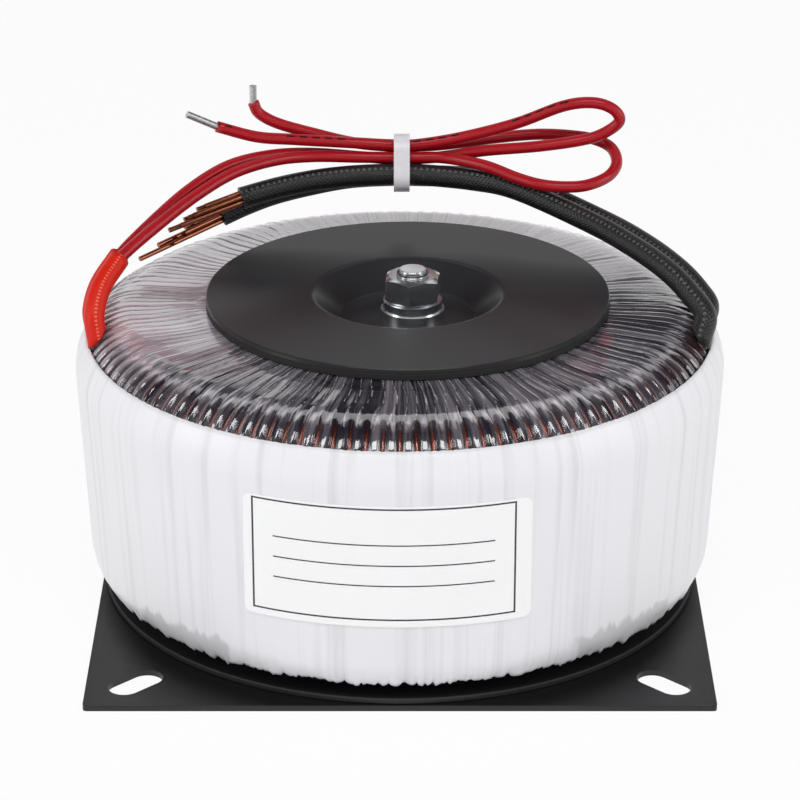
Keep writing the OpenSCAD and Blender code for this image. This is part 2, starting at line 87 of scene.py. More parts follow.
def finish(name, colour, roughness, **sockets):
    """A new material with a plain shader; the caller adds its patterns."""
    material = bpy.data.materials.new(name)
    material.use_nodes = True
    tree = material.node_tree
    shader = tree.nodes["Principled BSDF"]
    shader.inputs["Base Color"].default_value = linear(colour)
    shader.inputs["Roughness"].default_value = roughness
    for key, value in sockets.items():
        shader.inputs[key.replace("_", " ")].default_value = value
    return material, tree, shader


def feed(tree, value, shader, socket):
    """Links an output to an input of the shader."""
    tree.links.new(value, shader.inputs[socket])


def place(tree, scale=(1, 1, 1)):
    """Object coordinates, scaled."""
    where = add(tree, "ShaderNodeTexCoord").outputs["Object"]
    return add(tree, "ShaderNodeMapping", {"Vector": where, "Scale": scale}).outputs[0]


def grains(size):
    """Noise scale whose features measure size, in millimetres."""
    return 1 / (size * MM)


def mottle(tree, shader, size, low, high, rough, bump_mm):
    """Colour, roughness and relief that vary together over spots of one size."""
    spots = add(tree, "ShaderNodeTexNoise", {
        "Vector": place(tree), "Scale": grains(size), "Detail": 4,
        "Roughness": 0.6}).outputs["Fac"]
    tint = add(tree, "ShaderNodeMix", {
        "Factor": spots, 6: linear(low), 7: linear(high)}, data_type="RGBA")
    feed(tree, tint.outputs[2], shader, "Base Color")
    gloss = add(tree, "ShaderNodeMapRange", {
        "Value": spots, "To Min": rough[0], "To Max": rough[1]})
    feed(tree, gloss.outputs[0], shader, "Roughness")
    relief = add(tree, "ShaderNodeBump", {
        "Height": spots, "Strength": 0.5, "Distance": bump_mm * MM})
    feed(tree, relief.outputs[0], shader, "Normal")


# Powder coat, baked: an even satin black with a fine orange-peel skin
powder_coat, tree, shader = finish("black_powder_coat_on_steel", "#2c2c2e", 0.29)
mottle(tree, shader, 0.9, "#29292b", "#2f2f32", (0.27, 0.32), 0.003)
shader.inputs["Specular IOR Level"].default_value = 0.25

# Brushed-on stoving enamel of the plate: a little glossier and less even than the washer
plate_enamel, tree, shader = finish("black_stoving_enamel_on_steel", "#1a1a1d", 0.4)
mottle(tree, shader, 1.6, "#0e0e10", "#161618", (0.34, 0.46), 0.01)

# Die-cut rubber sheet: matt black with a fine dusty grain
rubber, tree, shader = finish("die_cut_rubber_sheet", "#101011", 0.6)
mottle(tree, shader, 0.5, "#0c0c0d", "#1a1a1b", (0.5, 0.72), 0.05)

# Zinc plate, passivated: a bright blue-white metal with faint tumbling marks
zinc, tree, shader = finish("blue_passivated_zinc_plate", "#cdd1d6", 0.2, Metallic=1)
mottle(tree, shader, 1.1, "#d6d9dd", "#f0f2f4", (0.16, 0.3), 0.012)

# The same plate over a rolled thread: bright crests, and roots darkened in the colour as
# painted shade
THREAD_PITCH, THREAD_DEPTH = 1.25, 0.3
zinc_thread, tree, shader = finish("zinc_plated_rolled_thread", "#dde0e4", 0.16, Metallic=1)
height = add(tree, "ShaderNodeSeparateXYZ", {
    0: add(tree, "ShaderNodeTexCoord").outputs["Object"]}).outputs[2]
turns = add(tree, "ShaderNodeMath", {
    0: height, 1: TAU / (THREAD_PITCH * MM)}, operation="MULTIPLY").outputs[0]
crest = add(tree, "ShaderNodeMath", {0: turns}, operation="SINE").outputs[0]
cut = add(tree, "ShaderNodeBump", {
    "Height": crest, "Strength": 1, "Distance": THREAD_DEPTH * MM})
feed(tree, cut.outputs[0], shader, "Normal")
# Painted shade: the colour darkens from the crests down into the roots
root = add(tree, "ShaderNodeMapRange", {
    "Value": crest, "From Min": -1, "From Max": 0.2, "To Min": 0, "To Max": 1}).outputs[0]
painted_root_shade = add(tree, "ShaderNodeMix", {
    "Factor": root, 6: linear("#6f7276"), 7: linear("#e4e7ea")}, data_type="RGBA")
feed(tree, painted_root_shade.outputs[2], shader, "Base Color")

# Silicon steel strip wound edge on: grey rings, one for each turn of the strip
STRIP_T = 0.3
core_steel, tree, shader = finish("wound_silicon_steel", "#8d9096", 0.4, Metallic=1)
strip_turns = add(tree, "ShaderNodeTexWave", {
    "Vector": place(tree), "Scale": grains(STRIP_T) / TAU, "Distortion": 0.4},
    wave_type="RINGS", rings_direction="Z").outputs["Fac"]
strip_tint = add(tree, "ShaderNodeMix", {
    "Factor": strip_turns, 6: linear("#6d7076"), 7: linear("#a4a7ac")}, data_type="RGBA")
feed(tree, strip_tint.outputs[2], shader, "Base Color")

# Crepe paper wrap: cream with fine wrinkles
crepe, tree, shader = finish("crepe_insulating_paper", "#dcd2ae", 0.8)
mottle(tree, shader, 0.6, "#cbbf98", "#e6ddbd", (0.7, 0.9), 0.08)

# Polyester tape between the windings: a smooth purple-grey, darkened in its wrinkles as
# painted shade
winding_tape, tree, shader = finish("tinted_polyester_winding_tape", "#453d4c", 0.3)
mottle(tree, shader, 2.4, "#2c2732", "#5a5262", (0.2, 0.4), 0.08)

# Enamelled copper: red-brown varnish over bright metal, so it glints like metal
enamelled, tree, shader = finish("enamelled_copper_wire", "#8a3f2a", 0.26, Metallic=0.75)
mottle(tree, shader, 3.2, "#551d14", "#a04a33", (0.18, 0.36), 0.02)
shader.inputs["Coat Weight"].default_value = 0.4
shader.inputs["Coat Roughness"].default_value = 0.1

# Bare drawn copper strand, a little dulled: salmon metal with draw lines
bare_copper, tree, shader = finish("bare_drawn_copper", "#b8704e", 0.3, Metallic=1)
mottle(tree, shader, 1.5, "#70341f", "#bd7d60", (0.22, 0.4), 0.02)

# Tinned copper: grey-white solder skin, dull and uneven
tinned, tree, shader = finish("tinned_copper", "#c6c7c9", 0.32, Metallic=1)
mottle(tree, shader, 0.8, "#a2a3a6", "#dedfe0", (0.24, 0.44), 0.03)

# Nylon 6.6, moulded: milky white with soft depth
nylon, tree, shader = finish("moulded_nylon", "#dedbe1", 0.34)
mottle(tree, shader, 2.2, "#d5d2d9", "#e8e6ea", (0.28, 0.42), 0.01)
shader.inputs["Subsurface Weight"].default_value = 0.15
shader.inputs["Subsurface Radius"].default_value = (0.001, 0.001, 0.001)


def round_the_axis(tree, steps, along):
    """Noise place whose cells run radially: steps of them round, along of them to a metre."""
    where = add(tree, "ShaderNodeTexCoord").outputs["Object"]
    parts = add(tree, "ShaderNodeSeparateXYZ", {0: where})
    flat = add(tree, "ShaderNodeCombineXYZ", {0: parts.outputs[0], 1: parts.outputs[1]})
    reach = add(tree, "ShaderNodeVectorMath", {0: flat.outputs[0]}, operation="LENGTH")
    unit = add(tree, "ShaderNodeVectorMath", {0: flat.outputs[0]}, operation="NORMALIZE")
    ring = add(tree, "ShaderNodeVectorMath", {
        0: unit.outputs[0], 3: steps / TAU}, operation="SCALE")
    run = add(tree, "ShaderNodeMath", {
        0: reach.outputs["Value"], 1: parts.outputs[2]}, operation="SUBTRACT")
    drop = add(tree, "ShaderNodeMath", {0: run.outputs[0], 1: along}, operation="MULTIPLY")
    lift = add(tree, "ShaderNodeCombineXYZ", {2: drop.outputs[0]})
    return add(tree, "ShaderNodeVectorMath", {
        0: ring.outputs[0], 1: lift.outputs[0]}).outputs[0]


# Clear polyester film, several laps deep: a dark purple-grey depth under a hard gloss that
# turns it pale at a shallow angle. Each lap's edge gets a painted highlight line and a painted
# shade line. Over a turn of wire it lies tight and clear; between two turns it bulges and goes
# cloudy
FILM_STREAKS, CLEAR_BELOW, CLOUDY_ABOVE = 460, 71.5, 74.4
film, tree, shader = finish("lapped_clear_polyester_film", "#4c4552", 0.09)
drape = add(tree, "ShaderNodeSeparateXYZ", {0: add(
    tree, "ShaderNodeAttribute", attribute_name="drape").outputs["Vector"]}).outputs
streaks = add(tree, "ShaderNodeTexNoise", {
    "Vector": round_the_axis(tree, FILM_STREAKS, 14), "Scale": 1, "Detail": 2,
    "Roughness": 0.5}).outputs["Fac"]
# The paleness comes from the streaks, which lighten the colour along their raised ridges as
# painted highlights, and from the drape
tone = add(tree, "ShaderNodeMath", {
    0: streaks, 1: 0.9, 2: drape[2]}, operation="MULTIPLY_ADD").outputs[0]
tint = add(tree, "ShaderNodeMapRange", {
    "Value": tone, "From Min": 0.6, "From Max": 1.5}).outputs[0]
depth = add(tree, "ShaderNodeMix", {
    "Factor": tint, 6: linear("#1f1a27"), 7: linear("#cdc4ce")}, data_type="RGBA").outputs[2]
# Painted highlight along each lap's raised rim, and painted shade at the foot of its step
lap_rim_highlight = add(tree, "ShaderNodeMapRange", {
    "Value": drape[1], "From Min": 0.84, "From Max": 0.95, "To Max": 0.6}).outputs[0]
edges_with_painted_light = add(tree, "ShaderNodeMix", {
    "Factor": lap_rim_highlight, 6: depth, 7: linear("#d9d3de")}, data_type="RGBA").outputs[2]
lap_step_shade = add(tree, "ShaderNodeMapRange", {
    "Value": drape[1], "From Min": 0.14, "From Max": 0.04, "To Max": 0.8}).outputs[0]
edges_with_painted_light = add(tree, "ShaderNodeMix", {
    "Factor": lap_step_shade, 6: edges_with_painted_light, 7: linear("#1d1922")}, data_type="RGBA").outputs[2]
feed(tree, edges_with_painted_light, shader, "Base Color")
level = add(tree, "ShaderNodeSeparateXYZ", {
    0: add(tree, "ShaderNodeTexCoord").outputs["Object"]}).outputs[2]
on_top = add(tree, "ShaderNodeMapRange", {
    "Value": level, "From Min": CLEAR_BELOW * MM, "From Max": CLOUDY_ABOVE * MM},
    interpolation_type="SMOOTHSTEP").outputs[0]
clear = add(tree, "ShaderNodeMapRange", {
    "Value": drape[0], "From Min": 0.05, "From Max": 0.55, "To Min": 0.6, "To Max": 0.1})
cover = add(tree, "ShaderNodeMix", {
    0: on_top, 2: clear.outputs[0], 3: 0.9}).outputs[0]
shallow = add(tree, "ShaderNodeLayerWeight", {"Blend": 0.35}).outputs["Facing"]
veil = add(tree, "ShaderNodeMath", {
    0: shallow, 1: 0.3, 2: cover}, operation="MULTIPLY_ADD", use_clamp=True)
feed(tree, veil.outputs[0], shader, "Alpha")
crease = add(tree, "ShaderNodeBump", {
    "Height": streaks, "Strength": 0.35, "Distance": 0.2 * MM})
feed(tree, crease.outputs[0], shader, "Normal")
shader.inputs["IOR"].default_value = 2.4
shader.inputs["Coat Weight"].default_value = 0.9
shader.inputs["Coat Roughness"].default_value = 0.04

# White polyester film tape: opaque, satin, with faint upright creases from its laps, the
# colour darkened along them as painted shade
TAPE_CREASES = 180
white_tape, tree, shader = finish("white_polyester_film_tape", "#e8e8ec", 0.36)
creases = add(tree, "ShaderNodeTexNoise", {
    "Vector": round_the_axis(tree, TAPE_CREASES, 8), "Scale": 1, "Detail": 3,
    "Roughness": 0.6}).outputs["Fac"]
# Painted shade: darker colour where the creases sink
shade = add(tree, "ShaderNodeValToRGB", {0: creases})
shade.color_ramp.elements[0].position = 0.3
shade.color_ramp.elements[0].color = linear("#e1e1e5")
shade.color_ramp.elements[1].position = 0.5
shade.color_ramp.elements[1].color = linear("#eeeef2")
# Painted shade: grey patches in two places near the foot of the front, given as
# (middle, half width) in millimetres, with torn edges
SHADE_PATCHES, SHADE_PATCH_TOP = ((-52, 11), (54.5, 11.5)), 15
SHADE_PATCH_SOFT, SHADE_PATCH_SHOWS = 1.4, 0.8
# How deep the tears go, and how much further out the edges start to make up for them
SIDE_RAG, TOP_RAG = 5, 8
SIDE_OUT, TOP_OUT = 1.8, 2.4
spot = add(tree, "ShaderNodeSeparateXYZ", {
    0: add(tree, "ShaderNodeTexCoord").outputs["Object"]}).outputs
torn = add(tree, "ShaderNodeTexNoise", {
    "Vector": place(tree, (1, 1, 0.3)), "Scale": grains(3), "Detail": 3}).outputs["Fac"]
shade_patch_sides = []
for centre, half in SHADE_PATCHES:
    off = add(tree, "ShaderNodeMath", {
        0: spot[0], 1: centre * MM}, operation="SUBTRACT").outputs[0]
    away = add(tree, "ShaderNodeMath", {0: off}, operation="ABSOLUTE").outputs[0]
    side = add(tree, "ShaderNodeMath", {
        0: torn, 1: SIDE_RAG * MM, 2: away}, operation="MULTIPLY_ADD").outputs[0]
    edge = (half + SIDE_OUT) * MM
    shade_patch_sides.append(add(tree, "ShaderNodeMapRange", {
        "Value": side, "From Min": edge + SHADE_PATCH_SOFT * MM, "From Max": edge}).outputs[0])
crown = add(tree, "ShaderNodeMath", {
    0: torn, 1: TOP_RAG * MM, 2: spot[2]}, operation="MULTIPLY_ADD").outputs[0]
edge = (SHADE_PATCH_TOP + TOP_OUT) * MM
below = add(tree, "ShaderNodeMapRange", {
    "Value": crown, "From Min": edge + SHADE_PATCH_SOFT * MM, "From Max": edge,
    "To Max": SHADE_PATCH_SHOWS}).outputs[0]
front = add(tree, "ShaderNodeMath", {0: spot[1], 1: 0}, operation="LESS_THAN").outputs[0]
# The painted shade patches, only on the front and below their torn top edge
painted_shade_patch = add(tree, "ShaderNodeMath", {
    0: shade_patch_sides[0], 1: shade_patch_sides[1]}, operation="MAXIMUM").outputs[0]
for limit in (below, front):
    painted_shade_patch = add(tree, "ShaderNodeMath", {
        0: painted_shade_patch, 1: limit}, operation="MULTIPLY").outputs[0]
greyed = add(tree, "ShaderNodeMix", {
    "Factor": painted_shade_patch, 6: shade.outputs[0], 7: linear("#c9c9cd")}, data_type="RGBA")
feed(tree, greyed.outputs[2], shader, "Base Color")
ripple = add(tree, "ShaderNodeBump", {
    "Height": creases, "Strength": 0.1, "Distance": 0.15 * MM})
feed(tree, ripple.outputs[0], shader, "Normal")

# Coated label paper with a printed frame and three ruled lines, all left blank
PAPER, INK = "#fcfcfd", "#2b2b2d"
paper, tree, shader = finish("coated_label_paper", PAPER, 0.45)
low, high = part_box("label")
FRAME_X, FRAME_Z = -3.75 * MM, (low.z + high.z) / 2 + 0.6 * MM
FRAME_HALF_W, FRAME_HALF_H, RULE = 31.1 * MM, 14.9 * MM, 0.22 * MM
RULED_HALF_W = FRAME_HALF_W - 5 * MM
spot = add(tree, "ShaderNodeSeparateXYZ", {
    0: add(tree, "ShaderNodeTexCoord").outputs["Object"]}).outputs
# Half width, middle height and half height of the frame's outside and inside and of the lines
printed = []
for half_w, middle, half_h in (
        (FRAME_HALF_W, FRAME_Z, FRAME_HALF_H),
        (FRAME_HALF_W - 2 * RULE, FRAME_Z, FRAME_HALF_H - 2 * RULE),
        *((RULED_HALF_W, FRAME_Z + height * MM, RULE * 0.8) for height in (5.2, -0.2, -5.6))):
    across = add(tree, "ShaderNodeMath", {
        0: spot[0], 1: FRAME_X, 2: half_w}, operation="COMPARE").outputs[0]
    upward = add(tree, "ShaderNodeMath", {
        0: spot[2], 1: middle, 2: half_h}, operation="COMPARE").outputs[0]
    printed.append(add(tree, "ShaderNodeMath", {
        0: across, 1: upward}, operation="MULTIPLY").outputs[0])
ink = add(tree, "ShaderNodeMath", {
    0: printed[0], 1: printed[1]}, operation="SUBTRACT").outputs[0]
for line in printed[2:]:
    ink = add(tree, "ShaderNodeMath", {0: ink, 1: line}, operation="MAXIMUM").outputs[0]
inked = add(tree, "ShaderNodeMix", {
    "Factor": ink, 6: linear(PAPER), 7: linear(INK)}, data_type="RGBA")
feed(tree, inked.outputs[2], shader, "Base Color")


def wound_place(tree):
    """(turn round the cord from 0 to 1, millimetres along it) from the cord's attribute."""
    lay = add(tree, "ShaderNodeAttribute", attribute_name="lay").outputs["Vector"]
    parts = add(tree, "ShaderNodeSeparateXYZ", {0: lay})
    angle = add(tree, "ShaderNodeMath", {
        0: parts.outputs[1], 1: parts.outputs[0]}, operation="ARCTAN2").outputs[0]
    turn = add(tree, "ShaderNodeMath", {0: angle, 1: TAU}, operation="DIVIDE").outputs[0]
    return turn, parts.outputs[2]


def dashes(tree, turn, along, side, half_width, pitch, share):
    """A broken line along one side of a cord; pitch in millimetres, the rest as shares."""
    lane = add(tree, "ShaderNodeMath", {
        0: turn, 1: side, 2: half_width}, operation="COMPARE").outputs[0]
    step = add(tree, "ShaderNodeMath", {0: along, 1: pitch}, operation="DIVIDE").outputs[0]
    part = add(tree, "ShaderNodeMath", {0: step}, operation="FRACT").outputs[0]
    mark = add(tree, "ShaderNodeMath", {0: part, 1: share}, operation="LESS_THAN").outputs[0]
    return add(tree, "ShaderNodeMath", {0: lane, 1: mark}, operation="MULTIPLY").outputs[0]


# Extruded PVC, plasticised: a deep glossy red with a plain dashed ink line
PVC, PVC_INK = "#a80c1b", "#2c060a"
red_pvc, tree, shader = finish("extruded_red_pvc", PVC, 0.34)
shader.inputs["Specular IOR Level"].default_value = 0.3
turn, along = wound_place(tree)
short = dashes(tree, turn, along, side=0.08, half_width=0.03, pitch=3.4, share=0.62)
groups = dashes(tree, turn, along, side=0, half_width=1, pitch=31, share=0.55)
marks = add(tree, "ShaderNodeMath", {0: short, 1: groups}, operation="MULTIPLY").outputs[0]
coloured = add(tree, "ShaderNodeMix", {
    "Factor": marks, 6: linear(PVC), 7: linear(PVC_INK)}, data_type="RGBA")
feed(tree, coloured.outputs[2], shader, "Base Color")
flow = add(tree, "ShaderNodeTexNoise", {
    "Vector": place(tree), "Scale": grains(2.5), "Detail": 2}).outputs["Fac"]
skin = add(tree, "ShaderNodeBump", {"Height": flow, "Strength": 0.4, "Distance": 0.05 * MM})
feed(tree, skin.outputs[0], shader, "Normal")
shader.inputs["Coat Weight"].default_value = 0.1
shader.inputs["Coat Roughness"].default_value = 0.15

# Silicone-coated glass sleeving: a hot orange-red, semi-matt, with one row of pale stitches
red_sleeving, tree, shader = finish("silicone_coated_glass_sleeving", "#d62008", 0.45)
shader.inputs["Specular IOR Level"].default_value = 0.25
turn, along = wound_place(tree)
stitches = dashes(tree, turn, along, side=-0.27, half_width=0.022, pitch=0.9, share=0.5)
coloured = add(tree, "ShaderNodeMix", {
    "Factor": stitches, 6: linear("#d41e07"), 7: linear("#e8664e")}, data_type="RGBA")
feed(tree, coloured.outputs[2], shader, "Base Color")

# Varnished braided sleeving: black herringbone, with a painted glint lightening the colour on
# some crossings. Its carriers and picks are both coarser than the real braid's, so that they
# show
CARRIERS, PICK = 16, 1.1
braid, tree, shader = finish("varnished_black_braid", "#131313", 0.34)
turn, along = wound_place(tree)
lean = add(tree, "ShaderNodeMath", {0: along, 1: PICK}, operation="DIVIDE").outputs[0]
spiral = add(tree, "ShaderNodeMath", {0: turn, 1: CARRIERS}, operation="MULTIPLY").outputs[0]
crossing = []
for way in ("ADD", "SUBTRACT"):
    phase = add(tree, "ShaderNodeMath", {0: spiral, 1: lean}, operation=way).outputs[0]
    wave = add(tree, "ShaderNodeMath", {0: phase, 1: TAU}, operation="MULTIPLY").outputs[0]
    crossing.append(add(tree, "ShaderNodeMath", {0: wave}, operation="SINE").outputs[0])
weave = add(tree, "ShaderNodeMath", {
    0: crossing[0], 1: crossing[1]}, operation="MAXIMUM").outputs[0]
lift = add(tree, "ShaderNodeBump", {"Height": weave, "Strength": 0.5, "Distance": 0.12 * MM})
feed(tree, lift.outputs[0], shader, "Normal")
glint = add(tree, "ShaderNodeTexNoise", {
    "Vector": place(tree), "Scale": grains(0.7), "Detail": 2}).outputs["Fac"]
# Painted glint: the colour lightens where a crossing's crest meets a noise spot
painted_glint = add(tree, "ShaderNodeMath", {0: weave, 1: glint}, operation="MULTIPLY").outputs[0]
peak = add(tree, "ShaderNodeMapRange", {"Value": painted_glint, "From Min": 0.55, "From Max": 0.75})
coloured = add(tree, "ShaderNodeMix", {
    "Factor": peak.outputs[0], 6: linear("#0f0f10"), 7: linear("#4a4a4a")}, data_type="RGBA")
tracer = dashes(tree, turn, along, side=-0.24, half_width=0.022, pitch=1.5, share=0.4)
coloured = add(tree, "ShaderNodeMix", {
    "Factor": tracer, 6: coloured.outputs[2], 7: linear("#565656")}, data_type="RGBA")
feed(tree, coloured.outputs[2], shader, "Base Color")

# ---- Making pieces -------------------------------------------------------------------


def settle(mesh, name, material, replaced):
    """Turns a bmesh into a piece that rides on the body in place of some CAD nodes."""
    bmesh.ops.recalc_face_normals(mesh, faces=mesh.faces)
    data = bpy.data.meshes.new(name)
    mesh.to_mesh(data)
    mesh.free()
    for face in data.polygons:
        face.use_smooth = True
    data.materials.append(material)
    piece = bpy.data.objects.new(name, data)
    bpy.context.scene.collection.objects.link(piece)
    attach(piece, "root")
    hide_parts(*replaced)
    return piece


def smooth_route(points, parts=6):
    """A smooth line through the points, in metres (Catmull-Rom)."""
    ends = [2 * points[0] - points[1]] + points + [2 * points[-1] - points[-2]]
    line = []
    for i in range(1, len(ends) - 2):
        a, b, c, d = ends[i - 1:i + 3]
        for k in range(parts):
            t = k / parts
            line.append(0.5 * (2 * b + (c - a) * t + (2 * a - 5 * b + 4 * c - d) * t * t
                               + (3 * b - a - 3 * c + d) * t ** 3))
    return line + [points[-1]]


def headings(line):
    """The direction of a line at each of its points."""
    last = len(line) - 1
    return [(line[min(i + 1, last)] - line[max(i - 1, 0)]).normalized()
            for i in range(last + 1)]


def tube(line, radius, sides, foot, capped=True):
    """A ring carried along a line; foot is the normal of the face that it comes out of."""
    mesh = bmesh.new()
    lay = mesh.verts.layers.float_vector.new("lay")
    # It starts inside the coil, and is cut flat at the end where it comes out
    buried, seat = 3 * radius, line[0]
    line = [seat - buried * (line[1] - seat).normalized()] + line
    ways = headings(line)
    side = ways[0].cross(Vector((0.01, 0.02, 1))).normalized()
    seats, run = [], -buried
    for i, way in enumerate(ways):
        side = (side - side.dot(way) * way).normalized()
        seats.append(Matrix((side, way.cross(side), way)).transposed().to_4x4())
        seats[-1].translation = line[i]
    ring = bmesh.ops.create_circle(
        mesh, cap_ends=False, radius=radius, segments=sides, matrix=seats[0])["verts"]
    for vert in ring:
        local = seats[0].inverted() @ vert.co
        turned = math.atan2(local.y, local.x)
        vert[lay] = (math.cos(turned), math.sin(turned), run / MM)
    edges = list(mesh.edges)
    for i in range(1, len(line)):
        run += (line[i] - line[i - 1]).length
        grown = bmesh.ops.extrude_edge_only(mesh, edges=edges)["geom"]
        ring = [g for g in grown if isinstance(g, bmesh.types.BMVert)]
        # Only the edges of the new ring, not the ones that join it to the last
        edges = [g for g in grown
                 if isinstance(g, bmesh.types.BMEdge) and set(ring).issuperset(g.verts)]
        bmesh.ops.transform(
            mesh, matrix=seats[i] @ seats[i - 1].inverted(), verts=ring)
        for vert in ring:
            vert[lay] = (vert[lay][0], vert[lay][1], run / MM)
    near = {v for v in mesh.verts if v[lay][2] * MM < buried}
    parts = [e for e in mesh.edges if near.issuperset(e.verts)]
    parts += [f for f in mesh.faces if near.issuperset(f.verts)]
    bmesh.ops.bisect_plane(mesh, geom=list(near) + parts, plane_co=seat, plane_no=foot,
                           clear_inner=True)
    if capped:
        bmesh.ops.holes_fill(mesh, edges=mesh.edges, sides=0)
    return mesh


def points(*rows):
    """Rows of millimetres as places in metres."""
    return [Vector(row) * MM for row in rows]


# ---- Cords ---------------------------------------------------------------------------

# Centre lines from the coil to the free end, in millimetres
RED_A = points(
    (-74.9, -14, 71.4), (-75.6, -11.5, 76.5), (-74, -6, 81.8), (-70, 1, 86.3), (-60, 12, 92),
    (-51, 22, 96), (-42, 31, 98.6), (-32, 39.4, 98.9), (-22, 44.8, 98), (-11, 47.4, 96.9),
    (-3, 48, 96.6), (4, 48, 96.6), (12, 47, 96.8), (22, 41, 96.8), (30, 36, 95.3),
    (36, 32.5, 94.7), (42, 31, 94.6), (48, 32, 94.7), (53.5, 35.5, 95.8), (56, 40.5, 97.6),
    (55, 45.5, 99.9), (51, 49, 101.1), (45, 50.8, 101.6), (36, 52, 101.6), (25, 52.6, 100.4),
    (12, 52.4, 98.7), (4, 52.1, 98.3), (-3, 52.1, 98.3), (-12.5, 51.9, 99.4),
    (-22.5, 51, 102.2), (-31.5, 50, 105.2), (-36.5, 50, 108), (-38, 50, 111))
RED_B = points(
    (-75.8, -8, 71.4), (-76.5, -5.2, 75.4), (-74.9, 0.4, 80), (-70.6, 7.6, 84.7),
    (-62, 16, 91.2), (-53.1, 25.4, 96.3), (-43.8, 34.4, 99.2), (-33.4, 42.6, 99.1),
    (-22.8, 47.9, 97.8), (-11, 50.8, 95.9), (-3, 50.9, 95.3), (4, 50.9, 95.3),
    (11, 50.6, 95.9), (22, 48.2, 98.4), (36.5, 44.4, 101), (48.4, 43, 103.4),
    (54, 42.5, 106), (56.6, 42, 109), (54.6, 42, 112), (49.5, 42, 113.6), (42, 43.4, 112.2),
    (30, 46, 106.6), (16, 48.4, 102), (4, 49.2, 99.7), (-3, 49.2, 99.7), (-11, 48.8, 100.3),
    (-18, 47.4, 101.2), (-27.5, 45, 102.6), (-37, 42.4, 104.2), (-47, 40, 107.8))
BLACK_A = points(
    (74.6, -14, 71.7), (75.8, -10, 75.5), (72.3, -4, 79), (66.9, 3, 82.6), (58.8, 13, 85.3),
    (48.5, 24, 87.6), (30.5, 38, 91.3), (19, 43, 92.2), (4, 45, 93), (-3, 45, 93),
    (-13, 44.4, 92.7), (-22.5, 42.5, 92.2), (-32, 40, 91), (-41, 37, 89.4))
BLACK_B = points(
    (75.8, -4.8, 71.7), (77.2, -0.6, 74.3), (75.2, 3.2, 76.8), (70.6, 8.3, 80.5),
    (63, 17.4, 83.6), (52.5, 28.2, 86.2), (33.5, 43, 90), (20.5, 48.6, 90.7),
    (4, 50.4, 90.8), (-3, 50.4, 90.8), (-13, 49.8, 90.4), (-22.7, 48, 89.2),
    (-32.5, 45.5, 87.5), (-40, 42, 85.8), (-46.3, 39.5, 83.6))
RED_D, BLACK_D = 3 * MM, 5.6 * MM
SLEEVE_BORE_R, SLEEVE_WALL, SLEEVE_POINTS = 2.1 * MM, 0.5 * MM, 4

# The coil's outline, in millimetres: its reach and heights, then its rounded corners
COIL_R, COIL_FOOT_R, HOLE_R = 80.9, 78.4, 24
COIL_LOW, COIL_TOP = 3, 75
SHOULDER_R, HEEL_R, LIP_R = 15, 12, 9
SHOULDER_C = (COIL_R - SHOULDER_R, COIL_TOP - SHOULDER_R)
HEEL_C = (COIL_FOOT_R - HEEL_R, COIL_LOW + HEEL_R)
LIP_TOP_C = (HOLE_R + LIP_R, COIL_TOP - LIP_R)
LIP_LOW_C = (HOLE_R + LIP_R, COIL_LOW + LIP_R)


def shoulder_out(point):
    """Outward direction of the coil's shoulder nearest a point."""
    reach = math.hypot(point.x, point.y)
    out = Vector((reach - SHOULDER_C[0] * MM, point.z - SHOULDER_C[1] * MM)).normalized()
    return Vector((out.x * point.x / reach, out.x * point.y / reach, out.y))


for name, route, width, sides, material, slot_name in (
        ("red_lead_a", RED_A, RED_D, 16, red_pvc, "red_pvc"),
        ("red_lead_b", RED_B, RED_D, 16, red_pvc, "red_pvc"),
        ("black_lead_a", BLACK_A, BLACK_D, 24, braid, "black_sleeving"),
        ("black_lead_b", BLACK_B, BLACK_D, 24, braid, "black_sleeving")):
    line = smooth_route(route)
    settle(
        tube(line, width / 2, sides, shoulder_out(route[0])),
        name + "_insulation", material, [name])

for name, route in (("red_sleeve_a", RED_A), ("red_sleeve_b", RED_B)):
    line = smooth_route(route[:SLEEVE_POINTS])
    piece = settle(
        tube(line, SLEEVE_BORE_R + SLEEVE_WALL, 24, shoulder_out(route[0]), capped=False),
        name + "_tube", red_sleeving, [name])
    wall = piece.modifiers.new("wall", "SOLIDIFY")
    wall.thickness = SLEEVE_WALL
    wall.offset = -1

# ---- Coil ----------------------------------------------------------------------------

# Where round the heel and the shoulder the side's straight part meets them, in degrees
SIDE_RUN = (SHOULDER_C[0] - HEEL_C[0], SHOULDER_C[1] - HEEL_C[1])
SIDE_ANGLE = math.degrees(math.atan2(SIDE_RUN[1], SIDE_RUN[0]) - math.acos(
    (HEEL_R - SHOULDER_R) / math.hypot(*SIDE_RUN)))
DISH_R = 50.5
TURNS = 120


def arc(centre, radius, start, end, steps):
    """Points of an arc of the section as (radius, height)."""
    turned = [math.radians(start + (end - start) * i / steps) for i in range(steps + 1)]
    return [(centre[0] + radius * math.cos(a), centre[1] + radius * math.sin(a))
            for a in turned]


def chain(mesh, section, closed):
    """Joins a section's points into a chain of edges in the plane y = 0."""
    verts = [mesh.verts.new((r * MM, 0, z * MM)) for r, z in section]
    pairs = list(zip(verts, verts[1:] + verts[:1])) if closed else list(zip(verts, verts[1:]))
    return verts + [mesh.edges.new(pair) for pair in pairs]


def turned_round(section, steps, closed):
    """A section turned a full circle round the coil's axis."""
    mesh = bmesh.new()
    geom = chain(mesh, section, closed)
    bmesh.ops.spin(mesh, geom=geom, cent=(0, 0, 0), axis=(0, 0, 1), angle=TAU,
                   steps=steps, use_merge=True)
    bmesh.ops.remove_doubles(mesh, verts=mesh.verts, dist=1e-6)
    return mesh


def chance(number, salt):
    """A repeatable value from 0 to 1 for a numbered lap or turn."""
    return 0.5 + 0.5 * noise.noise(Vector((number * 7.31 + salt, salt * 3.7, 0.5)))


